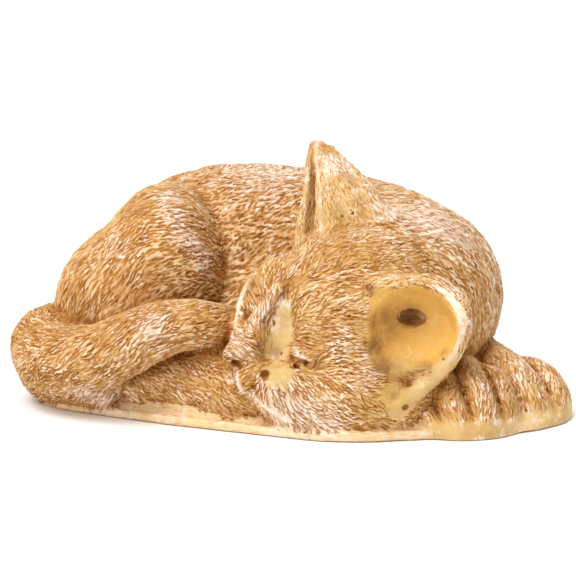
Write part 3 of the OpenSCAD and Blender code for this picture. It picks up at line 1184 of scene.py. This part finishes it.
def add_studio():
    """One wide light from the upper left, three soft boxes and a pale sky."""
    data = bpy.data.lights.new("overhead", "SUN")
    data.energy = 2.95
    data.angle = math.radians(36)
    overhead = bpy.data.objects.new("overhead", data)
    overhead.location = (-0.28, -0.3, 0.85)
    aim(overhead, (0, 0, 0))
    bpy.context.collection.objects.link(overhead)
    for name, lamp in LAMPS.items():
        add_lamp(name, *lamp)
    world = bpy.data.worlds.new("sky")
    world.use_nodes = True
    background = world.node_tree.nodes["Background"]
    background.inputs["Color"].default_value = (1, 1, 1, 1)
    background.inputs["Strength"].default_value = 0.34
    bpy.context.scene.world = world
    bpy.context.scene.view_settings.view_transform = "Standard"


def add_floor():
    """A wide pale disc, just below the figurine."""
    sides, radius, drop = 96, 4.0, 0.0002
    ring = [2 * math.pi * i / sides for i in range(sides)]
    mesh = bpy.data.meshes.new("floor")
    corners = [(radius * math.cos(a), radius * math.sin(a), cad_low[2] - drop) for a in ring]
    mesh.from_pydata(corners, [], [list(range(sides))])
    floor = bpy.data.objects.new("floor", mesh)
    bpy.context.collection.objects.link(floor)
    n = Nodes("paper")
    shader = n.add("BsdfPrincipled", Base_Color=(0.9, 0.9, 0.9, 1), Roughness=0.7)
    n.add("OutputMaterial", Surface=shader.outputs["BSDF"])
    mesh.materials.append(n.material)


# --- Building ---

# How many faces each grid cell's edge is cut into.
FINENESS = {"base_slab": 2, "body": 3, "head": 5, "left_ear": 5}
USUAL_FINENESS = 4
SLOTS = {
    "base_slab": "slab_clay",
    "body": "russet_coat",
    "right_haunch": "russet_coat",
    "left_ear": "golden_ear",
}
COATS = (slab_clay, russet_coat, ochre_coat, golden_ear)


def sculpt():
    """Meshes the figurine, and gives each piece's points, normals, skin mask and faces."""
    low, whole, labels = label_grid()
    points, numbers, on_skin = cell_points(low, whole, labels)
    quads, behind, before = cell_quads(labels, numbers)
    points = relax(points, quads, on_skin).astype(np.float32)
    normals = np.zeros_like(points)
    normals[on_skin] = slopes(points[on_skin])
    points[on_skin] = settle(points[on_skin], normals[on_skin], 2)
    meshes = {}
    for number, name in enumerate(PIECES, 1):
        first, second = behind == number, before == number
        mine = np.concatenate([quads[first], quads[second][:, ::-1]])
        other = np.concatenate([before[first], behind[second]])
        k = FINENESS.get(name, USUAL_FINENESS)
        meshes[name] = refine(mine[other == 0], mine[other != 0], points, normals, k)
    return meshes


def relief(skin, normals, piece_of):
    """The skin raised and cut by the tooling, and the marks that the materials read."""
    tree = KDTree(len(skin))
    for i, p in enumerate(skin.tolist()):
        tree.insert(p, i)
    tree.balance()
    groove, lip = fur_strokes(skin, normals, piece_of, tree)
    tuft, _ = fur_strokes(skin, normals, piece_of, tree, TUFT_SCALE)
    tuft[np.isin(piece_of, [PIECES.index("left_forepaw"), PIECES.index("right_forepaw")])] = 0
    hole = pinholes(skin, tree)
    calm = np.where(piece_of == PIECES.index("base_slab"), 0.4, 1 - 0.4 * bare(skin))
    lumps = LUMP_HEIGHT * waves(skin, 7, SEED + 3) + RIPPLE_HEIGHT * waves(skin, 2.5, SEED + 4)
    height = calm * lumps + LIP_HEIGHT * lip
    height = height - GROOVE_DEPTH * groove - TUFT_DEPTH * tuft - HOLE_DEPTH * hole
    marks = {"groove": groove, "lip": lip, "tuft": tuft, "hole": hole}
    marks["across"], marks["along"] = grain(skin, piece_of)
    # Painted shade follows these: wide hollows and tight creases where the surface crowds in.
    marks["recess"] = recess(skin, normals, 4.0)
    marks["crease_shade"] = recess(skin, normals, 1.2)
    marks["bare"] = bare(skin)
    marks["ridge"] = ridges(skin)
    marks["gold"] = step_up(left_ear_hollow(skin), 1.6, 0.4)
    marks.update({colour: paint(skin, colour) for colour in PAINT})
    return skin + normals * height[:, None], marks


def make_piece(name, points, faces, skin_faces, marks, material):
    """One piece's object, its skin smooth and its seams flat, with its marks as attributes."""
    mesh = bpy.data.meshes.new(name)
    mesh.from_pydata((points * UNIT).tolist(), [], faces)
    smooth = np.arange(len(faces)) < skin_faces
    mesh.polygons.foreach_set("use_smooth", smooth)
    for mark, values in marks.items():
        mesh.attributes.new(mark, "FLOAT", "POINT").data.foreach_set("value", values.astype(np.float32))
    mesh.materials.append(material)
    piece = bpy.data.objects.new(name + "_skin", mesh)
    bpy.context.collection.objects.link(piece)
    return piece


def build():
    """Makes the pieces, whose skins are tooled together so that marks run on across seams."""
    meshes = sculpt()
    skin = np.concatenate([points[mask] for points, _, mask, _, _ in meshes.values()])
    normals = unit(np.concatenate([ways[mask] for _, ways, mask, _, _ in meshes.values()]))
    piece_of = np.concatenate([np.full(mesh[2].sum(), i) for i, mesh in enumerate(meshes.values())])
    skin = settle(skin.astype(np.float32), normals.astype(np.float32), 2)
    skin, marks = relief(skin, normals, piece_of)
    skin = np.clip(skin, LOWEST, HIGHEST)
    materials = {make.__name__: make() for make in COATS}
    for number, name in enumerate(PIECES):
        points, _, mask, faces, inner_faces = meshes[name]
        mine = piece_of == number
        points[mask] = skin[mine]
        own_marks = {}
        for mark, values in marks.items():
            own_marks[mark] = np.zeros(len(points), np.float32)
            own_marks[mark][mask] = values[mine]
        slot = SLOTS.get(name, "ochre_coat")
        every_face = faces.tolist() + inner_faces
        piece = make_piece(name, points, every_face, len(faces), own_marks, materials[slot])
        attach(piece, "root")
        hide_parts(name)


add_camera()
add_studio()
add_floor()
build()
